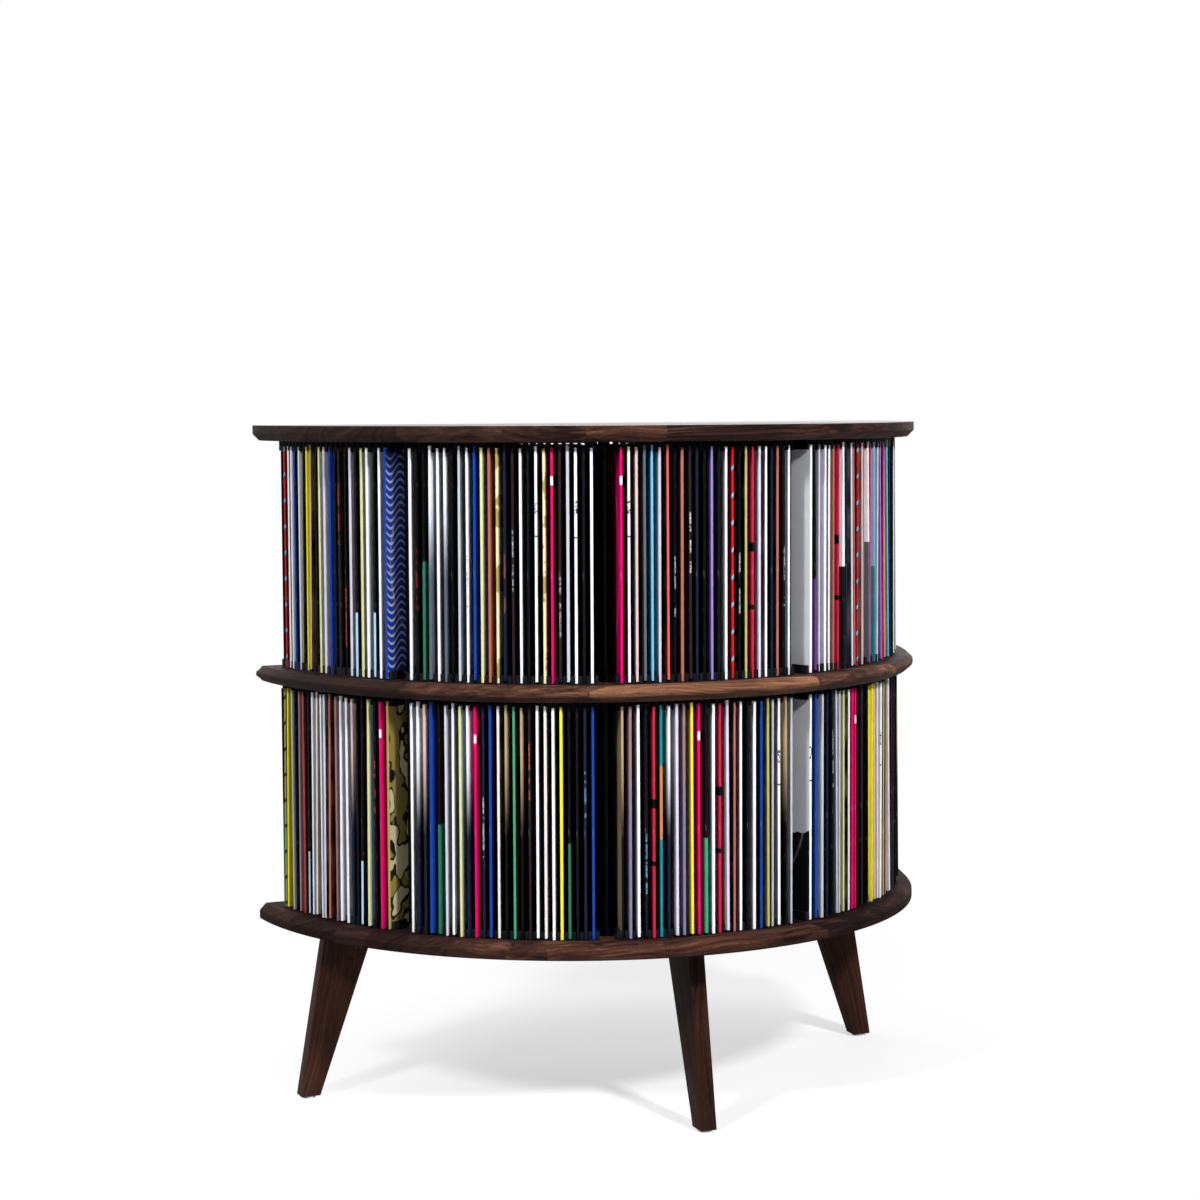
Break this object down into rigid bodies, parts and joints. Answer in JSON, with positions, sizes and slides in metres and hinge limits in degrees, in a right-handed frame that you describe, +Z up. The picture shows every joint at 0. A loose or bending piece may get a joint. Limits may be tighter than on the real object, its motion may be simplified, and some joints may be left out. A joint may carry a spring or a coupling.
{
  "type": "vinyl record storage rack",
  "caption": "Half-round walnut rack on splayed legs that holds records on edge, spines out, in fans between slotted black combs and radial dividers.",
  "frame": {"origin": "on the floor, under the middle of the rack's width and depth", "axes": "+X along the flat back towards the right end, -Y towards the round front, +Z up"},
  "size_m": [1.0128, 0.4946, 0.971],
  "materials": {
    "walnut": "satin",
    "black_comb": "matte",
    "black_panel": "satin",
    "black_holder": "satin",
    "black_screw": "satin",
    "zinc_screw": "satin",
    "pale_glide": "satin",
    "record_sleeve": "satin"
  },
  "bodies": {
    "rack": {"shelf_top": "walnut", "shelf_middle": "walnut", "shelf_bottom": "walnut", "leg_left": "walnut", "leg_front": "walnut", "leg_right": "walnut", "comb_upper_floor_1": "black_comb", "comb_upper_floor_2": "black_comb", "comb_upper_floor_3": "black_comb", "comb_upper_floor_4": "black_comb", "comb_upper_floor_5": "black_comb", "comb_upper_ceiling_1": "black_comb", "comb_upper_ceiling_2": "black_comb", "comb_upper_ceiling_3": "black_comb", "comb_upper_ceiling_4": "black_comb", "comb_upper_ceiling_5": "black_comb", "comb_lower_floor_1": "black_comb", "comb_lower_floor_2": "black_comb", "comb_lower_floor_3": "black_comb", "comb_lower_floor_4": "black_comb", "comb_lower_floor_5": "black_comb", "comb_lower_ceiling_1": "black_comb", "comb_lower_ceiling_2": "black_comb", "comb_lower_ceiling_3": "black_comb", "comb_lower_ceiling_4": "black_comb", "comb_lower_ceiling_5": "black_comb", "divider_upper_1": "black_panel", "divider_upper_2": "black_panel", "divider_upper_3": "black_panel", "divider_upper_4": "black_panel", "divider_lower_1": "black_panel", "divider_lower_2": "black_panel", "divider_lower_3": "black_panel", "divider_lower_4": "black_panel", "end_panel_upper_left": "black_panel", "end_panel_upper_right": "black_panel", "end_panel_lower_left": "black_panel", "end_panel_lower_right": "black_panel", "core_wall_upper": "black_panel", "core_wall_lower": "black_panel", "divider_holders": "black_holder", "end_panel_screws": "black_screw", "leg_screws": "zinc_screw", "foot_glides": "pale_glide", "records_upper_1": "record_sleeve", "records_upper_2": "record_sleeve", "records_upper_3": "record_sleeve", "records_upper_4": "record_sleeve", "records_upper_5": "record_sleeve", "records_lower_1": "record_sleeve", "records_lower_2": "record_sleeve", "records_lower_3": "record_sleeve", "records_lower_4": "record_sleeve", "records_lower_5": "record_sleeve"},
    "loose_record_upper_1": {"loose_record_upper_1": "record_sleeve"},
    "loose_record_upper_3": {"loose_record_upper_3": "record_sleeve"},
    "loose_record_upper_4": {"loose_record_upper_4": "record_sleeve"},
    "loose_record_lower_1": {"loose_record_lower_1": "record_sleeve"},
    "loose_record_lower_2": {"loose_record_lower_2": "record_sleeve"},
    "loose_record_lower_4": {"loose_record_lower_4": "record_sleeve"}
  },
  "joints": [
    {"name": "loose_record_upper_1_slide", "type": "slide", "parent": "rack", "child": "loose_record_upper_1", "axis": [-0.8207, -0.5714, 0], "range_m": [0, 0.345]},
    {"name": "loose_record_upper_3_slide", "type": "slide", "parent": "rack", "child": "loose_record_upper_3", "axis": [-0.2629, -0.9648, 0], "range_m": [0, 0.345]},
    {"name": "loose_record_upper_4_slide", "type": "slide", "parent": "rack", "child": "loose_record_upper_4", "axis": [0.3413, -0.94, 0], "range_m": [0, 0.345]},
    {"name": "loose_record_lower_1_slide", "type": "slide", "parent": "rack", "child": "loose_record_lower_1", "axis": [-0.8207, -0.5714, 0], "range_m": [0, 0.345]},
    {"name": "loose_record_lower_2_slide", "type": "slide", "parent": "rack", "child": "loose_record_lower_2", "axis": [-0.3413, -0.94, 0], "range_m": [0, 0.345]},
    {"name": "loose_record_lower_4_slide", "type": "slide", "parent": "rack", "child": "loose_record_lower_4", "axis": [0.3413, -0.94, 0], "range_m": [0, 0.345]}
  ]
}
